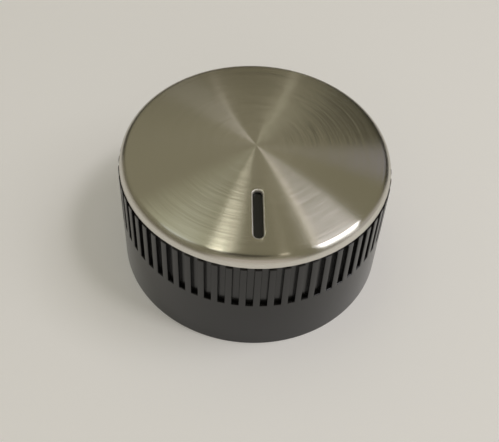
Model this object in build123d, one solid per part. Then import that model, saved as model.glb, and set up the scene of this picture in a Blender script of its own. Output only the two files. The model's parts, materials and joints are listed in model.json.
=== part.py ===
from build123d import *
import math
import os

# Control knob, millimetres. The origin is at the middle of the base, +Z is the shaft axis pointing
# out of the panel, and the pointer lies towards -Y.

# Body outside: a drafted wall, plain at the skirt and grooved above it
base_diameter = 39.0
crown_diameter = 38.3
body_height = 17.6
skirt_height = 9.45
groove_count = 64
groove_width = 0.92
groove_depth = 0.6

# Body underside: a hollow with a hub held by webs
wall_thickness = 1.7
ceiling_drop = 0.8
hub_diameter = 12.0
hub_recess = 1.0
hub_edge_chamfer = 0.4
web_count = 4
web_thickness = 1.2
web_height_at_hub = 9.0
web_height_at_wall = 6.0

# Socket for a D-shaped shaft: a round entry, then the D, which stops short of the ceiling
shaft_diameter = 6.0
shaft_across_flat = 4.5
socket_clearance = 0.05
entry_clearance = 0.25
entry_depth = 4.0
socket_end_wall = 1.3

# Leaf spring: two flat tabs on the back of its pocket, bowed towards the flat of the shaft between them
spring_width = 3.8
spring_thickness = 0.3
spring_bow = 0.6
spring_tab = 1.0
spring_clearance = 0.1

# Cap: a domed pressing with a leaning rim that stands on the rib tops. A narrow conical land, a little
# steeper than the edge of the dome, leads from the dome to the rounded shoulder
rim_setback = 0.15
rim_height = 1.4
rim_lean = 0.3
shoulder_radius = 1.3
land_width = 1.2
land_crease_degrees = 1.5
dome_rise = 1.02
cap_sheet = 0.5
glue_gap = 0.1

# Pointer: a round-ended slot through the cap
pointer_length = 7.5
pointer_width = 1.4
pointer_margin = 3.45

# All cuts run past the faces they open
cut_overrun = 1.0

base_radius = base_diameter / 2
crown_radius = crown_diameter / 2
wall_draft = math.atan2(base_radius - crown_radius, body_height)
cavity_inset = groove_depth + wall_thickness
ceiling_z = body_height - ceiling_drop
hub_radius = hub_diameter / 2
socket_radius = shaft_diameter / 2 + socket_clearance
socket_flat = shaft_across_flat - shaft_diameter / 2
entry_radius = shaft_diameter / 2 + entry_clearance
entry_top = hub_recess + entry_depth
socket_top = ceiling_z - socket_end_wall
pocket_back = socket_flat + spring_bow + spring_thickness
rim_radius = crown_radius - rim_setback
rim_angle = math.atan2(rim_lean, rim_height)
corner_radius = rim_radius - rim_lean
corner_z = body_height + rim_height
dome_edge = corner_radius - land_width
land_angle = 2 * math.atan2(dome_rise, dome_edge) + math.radians(land_crease_degrees)
cap_top = corner_z + land_width * math.tan(land_angle) + dome_rise
dome_radius = (dome_edge**2 + dome_rise**2) / (2 * dome_rise)
dome_centre = cap_top - dome_radius

upright = (Align.CENTER, Align.CENTER, Align.MIN)


def wall_radius(z):
    # Outside of the drafted wall at height z, over the rib crests
    return base_radius - z * math.tan(wall_draft)


def turned(outline):
    return revolve(outline, axis=Axis.Z)


def radial_outline(*points):
    # Closed half section from (radius, height) points
    return make_face(Polyline(*[(radius, 0, z) for radius, z in points], close=True))


def dome_ball(inset):
    # Its own poles lie sideways, away from the dome
    return Pos(0, 0, dome_centre) * Rot(X=90) * Sphere(dome_radius - inset)


def crowned_disc(inset):
    # Everything under the cap's skin, set in from rim and dome by an even distance
    foot = rim_radius - inset / math.cos(rim_angle)
    height = cap_top - body_height
    rim = Cone(foot, foot - height * math.tan(rim_angle), height, align=upright)
    return Pos(0, 0, body_height) * rim & dome_ball(inset)


def cap_outside():
    # Rim, rounded shoulder and land, closed by the dome
    roof_top = corner_z + corner_radius * math.tan(land_angle)
    outline = radial_outline(
        (0, body_height), (rim_radius, body_height), (corner_radius, corner_z), (0, roof_top)
    )
    shoulder = outline.vertices().sort_by_distance((corner_radius, 0, corner_z))[0]
    return turned(fillet(shoulder, shoulder_radius)) & dome_ball(0)


def outer_wall():
    # Solid drafted drum
    return Cone(base_radius, crown_radius, body_height, align=upright)


def grooves():
    # Flutes cut parallel to the drafted wall, so that their depth is even; a rib stands at the pointer
    pitch = 360 / groove_count
    floor_radius = wall_radius(skirt_height) - groove_depth
    cut_depth = groove_depth + cut_overrun
    cut_height = body_height - skirt_height + cut_overrun
    from_ledge = (Align.CENTER, Align.MAX, Align.MIN)
    flute = Pos(0, -floor_radius, skirt_height) * Rot(X=-math.degrees(wall_draft)) * Box(
        groove_width, cut_depth, cut_height, align=from_ledge
    )
    return [Rot(Z=pitch * (step + 0.5)) * flute for step in range(groove_count)]


def hub():
    height = ceiling_z - hub_recess + cut_overrun
    drum = Pos(0, 0, hub_recess) * Cylinder(hub_radius, height, align=upright)
    return chamfer(drum.edges().group_by(Axis.Z)[0], hub_edge_chamfer)


def webs():
    # Gussets from the hub to the wall, deeper at the hub, on the diagonals
    inner = hub_radius / 2
    outer = base_radius - cavity_inset + cut_overrun
    top = ceiling_z + cut_overrun
    outline = radial_outline(
        (inner, top),
        (outer, top),
        (outer, ceiling_z - web_height_at_wall),
        (hub_radius, ceiling_z - web_height_at_hub),
        (inner, ceiling_z - web_height_at_hub),
    )
    web = extrude(outline, amount=web_thickness / 2, both=True)
    return [Rot(Z=360 * (step + 0.5) / web_count) * web for step in range(web_count)]


def cavity():
    # What the mould core leaves empty: the drafted hollow without the hub and the webs
    hollow = turned(
        radial_outline(
            (0, -cut_overrun),
            (wall_radius(-cut_overrun) - cavity_inset, -cut_overrun),
            (wall_radius(ceiling_z) - cavity_inset, ceiling_z),
            (0, ceiling_z),
        )
    )
    return hollow - [hub(), *webs()]


def socket():
    # Round entry, D-shaped socket and the pocket for the leaf spring behind the flat
    entry = Pos(0, 0, hub_recess - cut_overrun) * Cylinder(
        entry_radius, entry_depth + cut_overrun, align=upright
    )
    length = socket_top - hub_recess
    bore = Pos(0, 0, hub_recess) * Cylinder(socket_radius, length, align=upright)
    from_axis = (Align.CENTER, Align.MIN, Align.MIN)
    beyond_flat = Pos(0, socket_flat + socket_clearance, entry_top) * Box(
        shaft_diameter, shaft_diameter, length, align=from_axis
    )
    pocket_width = spring_width + 2 * spring_clearance
    pocket = Pos(0, 0, hub_recess) * Box(pocket_width, pocket_back, length, align=from_axis)
    return entry + (bore - beyond_flat) + pocket


def knob_body():
    shell = outer_wall() - cavity() - socket() - grooves()
    return shell + crowned_disc(cap_sheet + glue_gap)


def metal_cap():
    skin = cap_outside() - crowned_disc(cap_sheet)
    reach = rim_radius - pointer_margin - pointer_length / 2
    slot = Pos(0, -reach, body_height) * SlotOverall(pointer_length, pointer_width, rotation=90)
    return skin - extrude(slot, amount=cap_top - body_height + cut_overrun)


def shaft_spring():
    # Leaf with its length along the shaft
    start = entry_top + spring_clearance
    end = socket_top - spring_clearance
    back = [
        Line((0, pocket_back, start), (0, pocket_back, start + spring_tab)),
        ThreePointArc(
            (0, pocket_back, start + spring_tab),
            (0, pocket_back - spring_bow, (start + end) / 2),
            (0, pocket_back, end - spring_tab),
        ),
        Line((0, pocket_back, end - spring_tab), (0, pocket_back, end)),
    ]
    front = [edge.moved(Pos(0, -spring_thickness, 0)) for edge in back]
    ends = [Line(back[0] @ 0, front[0] @ 0), Line(back[-1] @ 1, front[-1] @ 1)]
    return extrude(make_face([*back, *front, *ends]), amount=spring_width / 2, both=True, dir=(1, 0, 0))


os.makedirs("parts", exist_ok=True)
for make in (knob_body, metal_cap, shaft_spring):
    export_step(make(), f"parts/{make.__name__}.step")
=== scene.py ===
import bmesh
import bpy
import json
import math
from mathutils import Matrix, Vector

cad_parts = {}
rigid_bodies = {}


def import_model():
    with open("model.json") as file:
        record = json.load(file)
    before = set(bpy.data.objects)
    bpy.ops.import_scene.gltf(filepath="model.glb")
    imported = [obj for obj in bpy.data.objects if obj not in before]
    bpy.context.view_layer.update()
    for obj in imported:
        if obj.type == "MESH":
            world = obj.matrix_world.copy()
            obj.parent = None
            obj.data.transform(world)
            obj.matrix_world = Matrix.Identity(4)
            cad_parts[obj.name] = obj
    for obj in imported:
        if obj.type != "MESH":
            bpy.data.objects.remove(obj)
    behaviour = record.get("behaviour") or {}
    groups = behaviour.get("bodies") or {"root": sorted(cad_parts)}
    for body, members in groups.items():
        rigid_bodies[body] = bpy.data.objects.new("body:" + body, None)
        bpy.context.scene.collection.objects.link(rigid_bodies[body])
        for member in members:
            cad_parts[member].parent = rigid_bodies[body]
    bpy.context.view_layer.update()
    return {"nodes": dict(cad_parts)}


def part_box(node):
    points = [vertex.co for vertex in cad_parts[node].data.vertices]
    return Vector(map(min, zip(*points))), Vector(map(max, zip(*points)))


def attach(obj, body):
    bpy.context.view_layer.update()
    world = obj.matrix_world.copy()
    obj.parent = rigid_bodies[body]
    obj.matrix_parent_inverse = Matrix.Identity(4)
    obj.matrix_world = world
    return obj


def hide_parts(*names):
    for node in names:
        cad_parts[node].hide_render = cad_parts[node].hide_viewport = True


# Push-on control knob: fluted black body, spun-brushed cap with a slotted pointer, leaf spring in the socket
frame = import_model()
mm = 0.001
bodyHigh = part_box("knob_body")[1]
capLow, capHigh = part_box("metal_cap")
hair = 0.01 * mm  # places nearer than this count as the same
mergeDistance = 0.001 * mm
sharpAngle = math.radians(40)
smoothAngle = math.radians(35)


# Small helpers for modelling

def pickOnly(piece):
    bpy.ops.object.select_all(action="DESELECT")
    piece.select_set(True)
    bpy.context.view_layer.objects.active = piece


def startEdit(piece):
    pickOnly(piece)
    bpy.ops.object.mode_set(mode="EDIT")


def endEdit():
    bpy.ops.object.mode_set(mode="OBJECT")


def pickVerts(piece, test):
    # the test gets each vertex's place
    bpy.ops.mesh.select_mode(type="VERT")
    bpy.ops.mesh.select_all(action="DESELECT")
    shape = bmesh.from_edit_mesh(piece.data)
    for vert in shape.verts:
        vert.select_set(test(vert.co))
    shape.select_flush(True)
    bmesh.update_edit_mesh(piece.data)


def pickEdges(piece, test):
    bpy.ops.mesh.select_mode(type="EDGE")
    bpy.ops.mesh.select_all(action="DESELECT")
    shape = bmesh.from_edit_mesh(piece.data)
    for edge in shape.edges:
        edge.select_set(test(edge))
    bmesh.update_edit_mesh(piece.data)


def isSharp(edge):
    return edge.is_manifold and edge.calc_face_angle() > sharpAngle


def bothEnds(edge, test):
    return all(test(vert.co) for vert in edge.verts)


def reach(place):
    return math.hypot(place.x, place.y)  # distance from the shaft axis


def firstRing(name, columns, radius, height):
    bpy.ops.object.select_all(action="DESELECT")
    bpy.ops.mesh.primitive_circle_add(
        vertices=columns, radius=radius, fill_type="TRIFAN", location=(0, 0, height))
    piece = bpy.context.object
    piece.name = piece.data.name = name
    bpy.ops.object.transform_apply()
    return piece


def pullRing(piece, radius, height):
    # carries the open ring on to the next radius and height
    pickEdges(piece, lambda edge: edge.is_boundary)
    shape = bmesh.from_edit_mesh(piece.data)
    ring = next(vert.co.copy() for vert in shape.verts if vert.select)
    grow = radius / reach(ring)
    bpy.ops.mesh.extrude_region_move(TRANSFORM_OT_translate={"value": (0, 0, height - ring.z)})
    bpy.ops.transform.resize(value=(grow, grow, 1), center_override=(0, 0, height))


def closeMesh():
    bpy.ops.mesh.select_all(action="SELECT")
    bpy.ops.mesh.remove_doubles(threshold=mergeDistance)
    bpy.ops.mesh.normals_make_consistent(inside=False)


def useModifier(piece, kind, **settings):
    pickOnly(piece)
    bpy.ops.object.modifier_add(type=kind)
    modifier = piece.modifiers[-1]
    for name, value in settings.items():
        setattr(modifier, name, value)
    bpy.ops.object.modifier_apply(modifier=modifier.name)


def combine(piece, tool, operation):
    useModifier(piece, "BOOLEAN", object=tool, operation=operation, solver="EXACT")
    bpy.data.objects.remove(tool)


def smoothPiece(piece):
    pickOnly(piece)
    bpy.ops.object.shade_smooth_by_angle(angle=smoothAngle)
    useModifier(piece, "WEIGHTED_NORMAL", keep_sharp=True)


# Spun-brushed cap: low dome, rounded shoulder, leaning rim, slot for the pointer
metalCap = dict(
    columns=256,
    domeRings=16,
    rimRadius=capHigh.x,
    rimFoot=capLow.z,
    top=capHigh.z,
    rimHeight=1.4 * mm,
    rimLean=0.3 * mm,
    domeEdge=17.5 * mm,
    domeRise=1.02 * mm,
    shoulderBevel=0.9 * mm,  # gives a rounding of 1.3 mm
    shoulderSegments=10,
    sheet=0.5 * mm,
    footRound=0.04 * mm,
    footSegments=2,
    slotLength=7.5 * mm,
    slotWidth=1.3 * mm,
    slotMargin=3.51 * mm,  # from the rim's foot to the slot's end
    slotColumns=48,
    slotEdge=0.18 * mm,  # rounding where the slot breaks through the dome
    # widening and height over the dome, in slotEdge: wall, three steps of the rounding, lid above the dome
    slotFlareShares=[(0, -1), (0.15, -0.45), (0.5, -0.12), (1.1, 0.02), (1.1, 8)],
)
metalCap["domeRadius"] = (metalCap["domeEdge"] ** 2 + metalCap["domeRise"] ** 2) / (2 * metalCap["domeRise"])
# centres of the slot's round ends, on the Y axis
metalCap["slotOuter"] = -(metalCap["rimRadius"] - metalCap["slotMargin"] - metalCap["slotWidth"] / 2)
metalCap["slotInner"] = metalCap["slotOuter"] + metalCap["slotLength"] - metalCap["slotWidth"]


def domeHeight(radius, inset=0):
    ball = metalCap["domeRadius"]
    return metalCap["top"] - ball + math.sqrt((ball - inset) ** 2 - radius ** 2)


def makeSlotCutter():
    size = metalCap
    halfWidth = size["slotWidth"] / 2
    bpy.ops.object.select_all(action="DESELECT")
    # half a column of turn, so that the slot's ends part between two vertices
    bpy.ops.mesh.primitive_circle_add(
        vertices=size["slotColumns"], radius=halfWidth, fill_type="NGON",
        location=(0, size["slotOuter"], size["rimFoot"]), rotation=(0, 0, math.pi / size["slotColumns"]))
    cutter = bpy.context.object
    bpy.ops.object.transform_apply()
    startEdit(cutter)
    pickVerts(cutter, lambda place: place.y > size["slotOuter"])
    bpy.ops.transform.translate(value=(0, size["slotInner"] - size["slotOuter"], 0))
    bpy.ops.mesh.select_mode(type="FACE")
    bpy.ops.mesh.select_all(action="SELECT")
    for widen, lift in size["slotFlareShares"]:
        bpy.ops.mesh.extrude_region_move()
        shape = bmesh.from_edit_mesh(cutter.data)
        for vert in shape.verts:
            if vert.select:
                end = Vector((0, min(max(vert.co.y, size["slotOuter"]), size["slotInner"]), 0))
                out = Vector((vert.co.x, vert.co.y - end.y, 0)).normalized()
                place = end + out * (halfWidth + widen * size["slotEdge"])
                vert.co = (place.x, place.y, domeHeight(reach(place)) + lift * size["slotEdge"])
        bmesh.update_edit_mesh(cutter.data)
    closeMesh()
    endEdit()
    return cutter


def makeMetalCap():
    size = metalCap
    step = size["domeEdge"] / size["domeRings"]
    cap = firstRing("metalCap", size["columns"], step, domeHeight(step))
    startEdit(cap)
    # the middle goes up to the top of the dome
    pickVerts(cap, lambda place: reach(place) < step / 2)
    bpy.ops.transform.translate(value=(0, 0, size["top"] - domeHeight(step)))
    for ring in range(2, size["domeRings"] + 1):
        pullRing(cap, ring * step, domeHeight(ring * step))
    cornerRadius = size["rimRadius"] - size["rimLean"]
    cornerHeight = size["rimFoot"] + size["rimHeight"]
    pullRing(cap, cornerRadius, cornerHeight)
    pullRing(cap, size["rimRadius"], size["rimFoot"])
    closeMesh()
    # rounded shoulder
    pickEdges(cap, lambda edge: bothEnds(edge, lambda place: abs(place.z - cornerHeight) < hair))
    bpy.ops.mesh.bevel(offset=size["shoulderBevel"], segments=size["shoulderSegments"], affect="EDGES")
    endEdit()
    useModifier(cap, "SOLIDIFY", thickness=size["sheet"], offset=-1, use_even_offset=True)
    # eased foot of the rim
    startEdit(cap)
    pickEdges(cap, lambda edge: bothEnds(edge, lambda place: reach(place) > size["rimRadius"] - hair))
    bpy.ops.mesh.bevel(offset=size["footRound"], segments=size["footSegments"], affect="EDGES")
    endEdit()
    combine(cap, makeSlotCutter(), "DIFFERENCE")
    smoothPiece(cap)
    print("metal cap:", len(cap.data.polygons), "faces")
    return cap


# Moulded body: plain skirt, fluted grip, crown under the cap, hollow underside with hub and webs
knobBody = dict(
    columns=128,  # two to each groove, so that a rib's middle and a groove's middle lie on an edge
    grooves=64,
    baseRadius=bodyHigh.y,
    gripTop=capLow.z,
    gripRadius=19.15 * mm,
    ledge=9.45 * mm,
    skirtMargin=0.4 * mm,  # keeps the skirt's faces clear of the groove edges
    grooveWidth=0.92 * mm,
    grooveDepth=0.6 * mm,
    edgeRound=0.12 * mm,
    edgeSegments=2,
    crestBand=0.1 * mm,  # rib edges lie within this of the grip's outside
    ribTop=17.32 * mm,  # a fine shadow gap parts the ribs from the cap's rim
    neckRadius=18.72 * mm,
    crownInset=0.6 * mm,  # sheet of the cap and the glue under it
    crownFoot=18.3 * mm,
    crownEdge=17.9 * mm,
    crownRings=3,
    hollowFoot=17.2 * mm,
    hollowTop=16.87 * mm,
    ceiling=16.8 * mm,
    hubRadius=6.0 * mm,
    hubFace=1.0 * mm,
    hubChamfer=0.4 * mm,
    entryRadius=3.25 * mm,
    entryTop=5.0 * mm,
    socketRadius=3.05 * mm,
    socketFlat=1.55 * mm,
    socketTop=15.5 * mm,
    pocketWidth=4.0 * mm,
    pocketBack=2.4 * mm,
    webs=4,
    webThickness=1.2 * mm,
    webFootAtHub=7.8 * mm,
    webFootAtWall=10.8 * mm,
    overrun=1.0 * mm,  # webs and cutters reach past the faces that they meet
)
knobBody["draft"] = (knobBody["baseRadius"] - knobBody["gripRadius"]) / knobBody["gripTop"]


def addBlock(low, high):
    bpy.ops.object.select_all(action="DESELECT")
    bpy.ops.mesh.primitive_cube_add(
        size=1, location=(Vector(low) + Vector(high)) / 2, scale=Vector(high) - Vector(low))
    block = bpy.context.object
    bpy.ops.object.transform_apply()
    return block


def repeatRound(copies):
    # turns the shape by half a step, then copies it round the shaft axis
    bpy.ops.mesh.select_all(action="SELECT")
    bpy.ops.transform.rotate(value=math.pi / copies, orient_axis="Z", center_override=(0, 0, 0))
    bpy.ops.mesh.spin(
        steps=copies - 1, dupli=True, angle=math.tau * (copies - 1) / copies,
        center=(0, 0, 0), axis=(0, 0, 1))


def makeWebs():
    size = knobBody
    sink = size["overrun"]
    inner = size["hubRadius"] - sink
    outer = size["hollowFoot"] + sink / 2
    half = size["webThickness"] / 2
    slope = (size["webFootAtWall"] - size["webFootAtHub"]) / (outer - size["hubRadius"])
    webs = addBlock(
        (inner, -half, size["webFootAtHub"] - slope * sink), (outer, half, size["ceiling"] + sink / 2))
    startEdit(webs)
    # the foot rises towards the wall
    pickVerts(webs, lambda place: place.x > size["hubRadius"] and place.z < size["webFootAtWall"])
    bpy.ops.transform.translate(value=(0, 0, slope * (outer - inner)))
    repeatRound(size["webs"])
    endEdit()
    return webs


def makeGrooveCutter():
    size = knobBody
    half = size["grooveWidth"] / 2
    grooveFloor = size["gripRadius"] - size["grooveDepth"]
    cutter = addBlock(
        (-half, -size["baseRadius"] - size["overrun"], size["ledge"]),
        (half, -grooveFloor, size["gripTop"] + size["overrun"]))
    startEdit(cutter)
    # the groove's floor follows the draft of the wall
    pickVerts(cutter, lambda place: place.z < size["gripTop"])
    bpy.ops.transform.translate(value=(0, -size["draft"] * (size["gripTop"] - size["ledge"]), 0))
    repeatRound(size["grooves"])
    endEdit()
    return cutter


def makeKnobBody():
    size = knobBody
    inset = size["crownInset"]
    step = size["crownEdge"] / size["crownRings"]
    body = firstRing("knobBody", size["columns"], step, domeHeight(step, inset))
    startEdit(body)
    pickVerts(body, lambda place: reach(place) < step / 2)
    bpy.ops.transform.translate(value=(0, 0, domeHeight(0, inset) - domeHeight(step, inset)))
    for ring in range(2, size["crownRings"] + 1):
        pullRing(body, ring * step, domeHeight(ring * step, inset))
    skirtTop = size["ledge"] - size["skirtMargin"]
    # from the crown down the outside, then up the hollow, round the hub and into the socket
    outline = [
        (size["crownFoot"], size["gripTop"]),
        (size["neckRadius"], size["gripTop"]),
        (size["neckRadius"], size["ribTop"]),
        (size["gripRadius"], size["ribTop"]),
        (size["baseRadius"] - size["draft"] * skirtTop, skirtTop),
        (size["baseRadius"], 0),
        (size["hollowFoot"], 0),
        (size["hollowTop"], size["ceiling"]),
        (size["hubRadius"], size["ceiling"]),
        (size["hubRadius"], size["hubFace"] + size["hubChamfer"]),
        (size["hubRadius"] - size["hubChamfer"], size["hubFace"]),
        (size["entryRadius"], size["hubFace"]),
        (size["entryRadius"], size["entryTop"]),
        (size["socketRadius"], size["entryTop"]),
        (size["socketRadius"], size["socketTop"]),
    ]
    for radius, height in outline:
        pullRing(body, radius, height)
    pickEdges(body, lambda edge: edge.is_boundary)
    bpy.ops.mesh.edge_face_add()

    def isBeyondFlat(place):
        inSocket = size["entryTop"] - hair < place.z < size["ceiling"]
        return inSocket and reach(place) < size["socketRadius"] + hair and place.y > size["socketFlat"]

    # flat side of the D
    pickVerts(body, isBeyondFlat)
    bpy.ops.transform.resize(value=(1, 0, 1), center_override=(0, size["socketFlat"], 0))
    closeMesh()
    endEdit()
    combine(body, makeWebs(), "UNION")
    half = size["pocketWidth"] / 2
    pocketFoot = size["entryTop"] - 2 * size["overrun"]
    pocket = addBlock((-half, 0, pocketFoot), (half, size["pocketBack"], size["socketTop"]))
    combine(body, pocket, "DIFFERENCE")
    combine(body, makeGrooveCutter(), "DIFFERENCE")
    # rounded rib edges
    crest = size["gripRadius"] - size["crestBand"]
    startEdit(body)
    pickEdges(body, lambda edge: isSharp(edge) and bothEnds(edge, lambda place: reach(place) > crest))
    bpy.ops.mesh.bevel(offset=size["edgeRound"], segments=size["edgeSegments"], affect="EDGES")
    endEdit()
    smoothPiece(body)
    print("knob body:", len(body.data.polygons), "faces")
    return body


# Helpers for the finishes

def linearColour(hexCode):
    levels = [int(hexCode[start:start + 2], 16) / 255 for start in (1, 3, 5)]
    linear = [level / 12.92 if level <= 0.04045 else ((level + 0.055) / 1.055) ** 2.4 for level in levels]
    return [*linear, 1]


def addNode(tree, kind, inputs=(), **settings):
    # inputs gives each socket a value, or the output that feeds it
    node = tree.nodes.new(kind)
    for name, value in settings.items():
        setattr(node, name, value)
    for socket, value in dict(inputs).items():
        if isinstance(value, bpy.types.NodeSocket):
            tree.links.new(value, node.inputs[socket])
        else:
            node.inputs[socket].default_value = value
    return node


def newMaterial(name):
    material = bpy.data.materials.new(name)
    material.use_nodes = True
    material.node_tree.nodes.clear()
    return material, material.node_tree


def dress(piece, material):
    piece.data.materials.clear()
    piece.data.materials.append(material)


# Black ABS, moulded: the mould's fine grain leaves a soft grey sheen and no sharp reflections
blackAbs = dict(
    colour="#141415",
    roughness=0.26,
    ior=1.5,
    grain=0.25 * mm,  # coarser than the real grain, so that it shows
    grainDetail=3.0,
    grainDepth=0.02 * mm,
    grainStrength=0.15,
)


def makeBlackAbs():
    finish = blackAbs
    material, tree = newMaterial("Black ABS, moulded satin")
    place = addNode(tree, "ShaderNodeTexCoord").outputs["Object"]
    grain = addNode(tree, "ShaderNodeTexNoise", {
        "Vector": place, "Scale": 1 / finish["grain"], "Detail": finish["grainDetail"]})
    bump = addNode(tree, "ShaderNodeBump", {
        "Strength": finish["grainStrength"], "Distance": finish["grainDepth"],
        "Height": grain.outputs["Fac"]})
    shader = addNode(tree, "ShaderNodeBsdfPrincipled", {
        "Base Color": linearColour(finish["colour"]), "Roughness": finish["roughness"], "IOR": finish["ior"],
        "Normal": bump.outputs["Normal"]})
    addNode(tree, "ShaderNodeOutputMaterial", {"Surface": shader.outputs[0]})
    return material


# Aluminium, spun brushed: scratches run round the axis and draw each lamp out to a ray from the cap's middle
brushedAluminium = dict(
    colour="#d6d3cc",
    roughness=0.176,
    stretch=0.742,  # highlights are some fifteen times wider across the scratches than along them
    spacing=0.14 * mm,  # between scratches, coarser than real ones, so that they show
    detail=3.0,
    arcs=1.6,  # lengths of scratch to a turn, roughly
    lean=0.14,  # steepness of the scratches' sides
    edgeColour="#eceae6",  # on the rounded edge of the slot
    edgeRoughness=0.5,
)


def makeBrushedAluminium():
    finish = brushedAluminium
    material, tree = newMaterial("Aluminium, spun brushed")
    place = addNode(tree, "ShaderNodeTexCoord").outputs["Object"]
    across = addNode(tree, "ShaderNodeVectorMath", {0: place, 1: (1, 1, 0)}, operation="MULTIPLY")
    flat = across.outputs["Vector"]
    radial = addNode(tree, "ShaderNodeVectorMath", {0: flat}, operation="NORMALIZE").outputs["Vector"]
    radius = addNode(tree, "ShaderNodeVectorMath", {0: flat}, operation="LENGTH").outputs["Value"]
    # scratches are long arcs: the noise changes quickly with the radius and slowly round the axis
    rings = addNode(tree, "ShaderNodeMath", {0: radius, 1: 1 / finish["spacing"]}, operation="MULTIPLY")
    rise = addNode(tree, "ShaderNodeCombineXYZ", {"Z": rings.outputs["Value"]})
    arcs = addNode(tree, "ShaderNodeVectorMath", {
        0: radial, 1: (finish["arcs"],) * 3, 2: rise.outputs["Vector"]}, operation="MULTIPLY_ADD")
    scratch = addNode(tree, "ShaderNodeTexNoise", {
        "Vector": arcs.outputs["Vector"], "Scale": 1.0, "Detail": finish["detail"]})
    # each scratch leans the surface in or out
    lean = addNode(tree, "ShaderNodeMapRange", {
        "Value": scratch.outputs["Fac"], "To Min": -finish["lean"], "To Max": finish["lean"]})
    push = addNode(tree, "ShaderNodeVectorMath", {
        0: radial, "Scale": lean.outputs["Result"]}, operation="SCALE")
    plain = addNode(tree, "ShaderNodeNewGeometry").outputs["Normal"]
    tilted = addNode(tree, "ShaderNodeVectorMath", {0: plain, 1: push.outputs["Vector"]}, operation="ADD")
    normal = addNode(tree, "ShaderNodeVectorMath", {0: tilted.outputs["Vector"]}, operation="NORMALIZE")
    along = addNode(tree, "ShaderNodeVectorMath", {0: radial, 1: (0, 0, 1)}, operation="CROSS_PRODUCT")
    brushed = addNode(tree, "ShaderNodeBsdfAnisotropic", {
        "Color": linearColour(finish["colour"]), "Roughness": finish["roughness"],
        "Anisotropy": finish["stretch"], "Tangent": along.outputs["Vector"],
        "Normal": normal.outputs["Vector"]})
    # the rounded edge of the slot has no scratches; it is found by its distance from the slot's middle line
    y = addNode(tree, "ShaderNodeSeparateXYZ", {0: place}).outputs["Y"]
    nearest = addNode(tree, "ShaderNodeClamp", {
        "Value": y, "Min": metalCap["slotOuter"], "Max": metalCap["slotInner"]})
    middle = addNode(tree, "ShaderNodeCombineXYZ", {"Y": nearest.outputs["Result"]})
    away = addNode(tree, "ShaderNodeVectorMath", {0: flat, 1: middle.outputs["Vector"]}, operation="DISTANCE")
    edgeReach = metalCap["slotWidth"] / 2 + metalCap["slotEdge"]
    isEdge = addNode(tree, "ShaderNodeMath", {0: away.outputs["Value"], 1: edgeReach}, operation="LESS_THAN")
    edge = addNode(tree, "ShaderNodeBsdfAnisotropic", {
        "Color": linearColour(finish["edgeColour"]), "Roughness": finish["edgeRoughness"]})
    shader = addNode(tree, "ShaderNodeMixShader", {
        0: isEdge.outputs["Value"], 1: brushed.outputs[0], 2: edge.outputs[0]})
    addNode(tree, "ShaderNodeOutputMaterial", {"Surface": shader.outputs[0]})
    return material


# Spring steel, rolled: fine streaks along the strip soften its reflections unevenly
springSteel = dict(
    colour="#b4b4b6",
    streakWidth=0.1 * mm,
    streakLength=3 * mm,
    smoothest=0.2,  # roughness
    roughest=0.42,
)


def makeSpringSteel():
    finish = springSteel
    material, tree = newMaterial("Spring steel, rolled strip")
    place = addNode(tree, "ShaderNodeTexCoord").outputs["Object"]
    perStreak = (1 / finish["streakWidth"], 1 / finish["streakWidth"], 1 / finish["streakLength"])
    drawn = addNode(tree, "ShaderNodeVectorMath", {0: place, 1: perStreak}, operation="MULTIPLY")
    streaks = addNode(tree, "ShaderNodeTexNoise", {"Vector": drawn.outputs["Vector"], "Scale": 1.0})
    softness = addNode(tree, "ShaderNodeMapRange", {
        "Value": streaks.outputs["Fac"], "To Min": finish["smoothest"], "To Max": finish["roughest"]})
    shader = addNode(tree, "ShaderNodeBsdfPrincipled", {
        "Base Color": linearColour(finish["colour"]), "Metallic": 1.0,
        "Roughness": softness.outputs["Result"]})
    addNode(tree, "ShaderNodeOutputMaterial", {"Surface": shader.outputs[0]})
    return material


# Pieces: the spring keeps the CAD's own mesh
cap = makeMetalCap()
body = makeKnobBody()
spring = frame["nodes"]["shaft_spring"]
dress(cap, makeBrushedAluminium())
dress(body, makeBlackAbs())
dress(spring, makeSpringSteel())
for piece, node, slotName in ((body, "knob_body", "black_abs"), (cap, "metal_cap", "brushed_aluminium")):
    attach(piece, "root")
    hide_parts(node)
print("finishes on body, cap and spring")

# Floor of pale matt board: an even tone with a soft shadow, a little paler to the eye and in reflections
# than its light makes it, which adds no light to the knob
paleBoard = dict(
    width=6,
    colour="#ecebe9",
    roughness=0.6,
    liftColour="#fffdfb",
    liftToEye=0.165,
    liftInReflections=0.22,
)


def makePaleBoard():
    finish = paleBoard
    material, tree = newMaterial("Pale matt board")
    board = addNode(tree, "ShaderNodeBsdfPrincipled", {
        "Base Color": linearColour(finish["colour"]), "Roughness": finish["roughness"]})
    path = addNode(tree, "ShaderNodeLightPath")
    toEye = addNode(tree, "ShaderNodeMath", {
        0: path.outputs["Is Camera Ray"], 1: finish["liftToEye"]}, operation="MULTIPLY")
    lift = addNode(tree, "ShaderNodeMath", {
        0: path.outputs["Is Glossy Ray"], 1: finish["liftInReflections"], 2: toEye.outputs["Value"]},
        operation="MULTIPLY_ADD")
    pale = addNode(tree, "ShaderNodeEmission", {
        "Color": linearColour(finish["liftColour"]), "Strength": lift.outputs["Value"]})
    shader = addNode(tree, "ShaderNodeAddShader", {0: board.outputs[0], 1: pale.outputs[0]})
    addNode(tree, "ShaderNodeOutputMaterial", {"Surface": shader.outputs[0]})
    return material


bpy.ops.object.select_all(action="DESELECT")
bpy.ops.mesh.primitive_plane_add(size=paleBoard["width"])
floor = bpy.context.object
floor.name = "floor"
dress(floor, makePaleBoard())
print("floor laid")


def direction(azimuth, elevation):
    # degrees: azimuth from the pointer (-Y) towards +X, elevation from the floor
    swing, rise = math.radians(azimuth), math.radians(elevation)
    return Vector((math.sin(swing) * math.cos(rise), -math.cos(swing) * math.cos(rise), math.sin(rise)))


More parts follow.
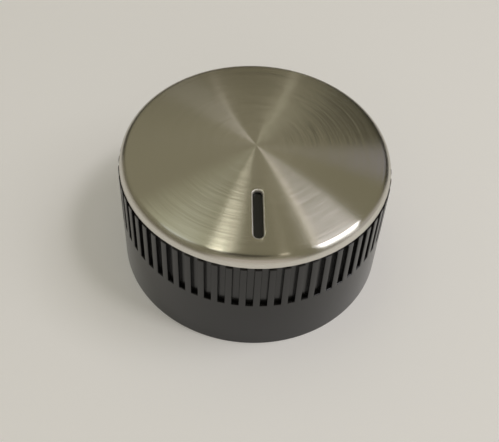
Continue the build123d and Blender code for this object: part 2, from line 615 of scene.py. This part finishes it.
# Lamps, each facing the knob from the same distance and turned about its own axis
lampDistance = 0.62
lamps = dict(
    # ray at the left of the pointer, and its flare on the shoulder
    stripBack=dict(azimuth=-159, elevation=75.3, turn=54.6,
                   size=(0.366, 0.045), watts=0.0345, colour="#fffbe6"),
    stripEnd=dict(azimuth=-117.7, elevation=79.3, turn=13.8,
                  size=(0.124, 0.048), watts=0.039, colour="#fffbe6"),
    # thin rays on the far side of the cap, at the right and at the left
    tubeBack=dict(azimuth=171.5, elevation=34, turn=-97.4,
                  size=(0.324, 0.015), watts=0.0022, colour="#fff8e4"),
    tubeLeft=dict(azimuth=-179.7, elevation=42.7, turn=-72.4,
                  size=(0.22, 0.008), watts=0.0019, colour="#fff6ee"),
    # streak along the left edge of the broad ray
    tubeRight=dict(azimuth=153.9, elevation=62.7, turn=137.2,
                   size=(0.49, 0.014), watts=0.009, colour="#fff6e6"),
    # spark on the front of the shoulder
    sparkRight=dict(azimuth=71.7, elevation=78, turn=-150.8,
                    size=(0.164, 0.031), watts=0.014, colour="#fff4e0"),
    # soft part of the broad ray
    glowRight=dict(azimuth=143.8, elevation=60.9, turn=158.4,
                   size=(0.22, 0.099), watts=0.02, colour="#fbf8ff"),
    # upper part of the white highlight on the shoulder
    windowRight=dict(azimuth=97.2, elevation=58.7, turn=-148.2,
                     size=(0.165, 0.211), watts=0.44, colour="#fbf8ff"),
    # casts the shadow, and stays out of reflections, where it would add a ray
    keyRight=dict(azimuth=67, elevation=62, turn=0,
                  size=(0.09, 0.09), watts=0.5, colour="#fffafa", reflected=False),
    # lower part of the white highlight
    skyRight=dict(azimuth=76.5, elevation=46.4, turn=-122.4,
                  size=(0.265, 0.254), watts=0.38, colour="#fbfcff"),
)
for name, lamp in lamps.items():
    way = direction(lamp["azimuth"], lamp["elevation"])
    facing = way.to_track_quat("Z", "Y").to_matrix().to_4x4()
    turned = Matrix.Rotation(math.radians(lamp["turn"]), 4, "Z")
    bpy.ops.object.light_add(type="AREA")
    light = bpy.context.object
    light.name = name
    light.matrix_world = Matrix.Translation(way * lampDistance) @ facing @ turned
    light.data.shape = "RECTANGLE"
    light.data.size, light.data.size_y = lamp["size"]
    light.data.energy = lamp["watts"]
    light.data.color = linearColour(lamp["colour"])[:3]
    light.visible_glossy = lamp.get("reflected", True)
print("lamps:", len(lamps))

# Room: walls that are pale near the floor and dim above, a warm ceiling, a few darker or paler patches
room = dict(
    lowWalls="#b4aea2",
    walls="#59533f",
    ceiling="#847f69",
    lowTop=0.12,  # heights on the unit dome where one passes into the next
    wallFoot=0.34,
    wallTop=0.36,
    ceilingFoot=0.57,
    # whole colour up to the inner angle from the patch's middle, none from the outer one on
    patches=[
        dict(azimuth=0, elevation=12, inner=18, outer=40, colour="#c8c0b6"),
        dict(azimuth=-24, elevation=77.5, inner=9, outer=18, colour="#140f0b"),
        dict(azimuth=142, elevation=8, inner=18, outer=34, colour="#2c2a24"),
        dict(azimuth=-152, elevation=4, inner=16, outer=28, colour="#3a372f"),
        dict(azimuth=180, elevation=4, inner=8, outer=18, colour="#3a372f"),
        dict(azimuth=-152, elevation=46, inner=6, outer=26, colour="#8e8973"),
        dict(azimuth=155.5, elevation=30, inner=4, outer=11, colour="#26251f"),
        dict(azimuth=145.6, elevation=39, inner=1, outer=7, colour="#a8a4b0"),
        dict(azimuth=86, elevation=14, inner=8, outer=24, colour="#b0aaa2"),
        dict(azimuth=-146.5, elevation=65.5, inner=3, outer=15, colour="#cdceb3"),
        dict(azimuth=-104, elevation=65, inner=4, outer=10, colour="#f0f4ee"),
    ],
)
world = bpy.data.worlds.new("room")
world.use_nodes = True
bpy.context.scene.world = world
tree = world.node_tree
tree.nodes.clear()
toward = addNode(tree, "ShaderNodeTexCoord").outputs["Generated"]
height = addNode(tree, "ShaderNodeSeparateXYZ", {0: toward}).outputs["Z"]
# each layer covers the last one where its value passes from low to high
layers = [
    (height, room["lowTop"], room["wallFoot"], room["walls"]),
    (height, room["wallTop"], room["ceilingFoot"], room["ceiling"]),
]
for patch in room["patches"]:
    aim = direction(patch["azimuth"], patch["elevation"])
    near = addNode(tree, "ShaderNodeVectorMath", {0: toward, 1: aim}, operation="DOT_PRODUCT")
    rims = [math.cos(math.radians(patch[side])) for side in ("outer", "inner")]
    layers.append((near.outputs["Value"], *rims, patch["colour"]))
glow = linearColour(room["lowWalls"])
for value, low, high, colour in layers:
    share = addNode(tree, "ShaderNodeMapRange", {
        "Value": value, "From Min": low, "From Max": high}, interpolation_type="SMOOTHSTEP")
    # sockets 6 and 7 are the two colours
    mix = addNode(tree, "ShaderNodeMix", {
        "Factor": share.outputs["Result"], 6: glow, 7: linearColour(colour)}, data_type="RGBA")
    glow = mix.outputs[2]
shine = addNode(tree, "ShaderNodeBackground", {"Color": glow})
addNode(tree, "ShaderNodeOutputWorld", {"Surface": shine.outputs[0]})
print("room:", len(layers), "layers")

# Camera at the photo's angle
view = dict(
    imageWidth=499,  # pixels
    focalPixels=760.74,
    sensor=36.0,
    distance=112.8 * mm,
    aimHeight=10 * mm,
    clipStart=1 * mm,
    azimuth=-3.75,
    elevation=49.04,
    pan=-0.17,
    tilt=-2.075,
    roll=3.45,
)
bpy.ops.object.camera_add()
camera = bpy.context.object
camera.name = "camera"
camera.data.sensor_fit = "HORIZONTAL"
camera.data.sensor_width = view["sensor"]
camera.data.lens = view["focalPixels"] / view["imageWidth"] * view["sensor"]
camera.data.clip_start = view["clipStart"]
spot = direction(view["azimuth"], view["elevation"]) * view["distance"] + Vector((0, 0, view["aimHeight"]))
camera.matrix_world = (
    Matrix.Translation(spot)
    @ Matrix.Rotation(math.radians(view["azimuth"]), 4, "Z")
    @ Matrix.Rotation(math.radians(90 - view["elevation"]), 4, "X")
    @ Matrix.Rotation(math.radians(-view["pan"]), 4, "Y")
    @ Matrix.Rotation(math.radians(view["tilt"]), 4, "X")
    @ Matrix.Rotation(math.radians(view["roll"]), 4, "Z")
)
bpy.context.scene.camera = camera
bpy.context.scene.view_settings.view_transform = "Standard"
print("camera set")
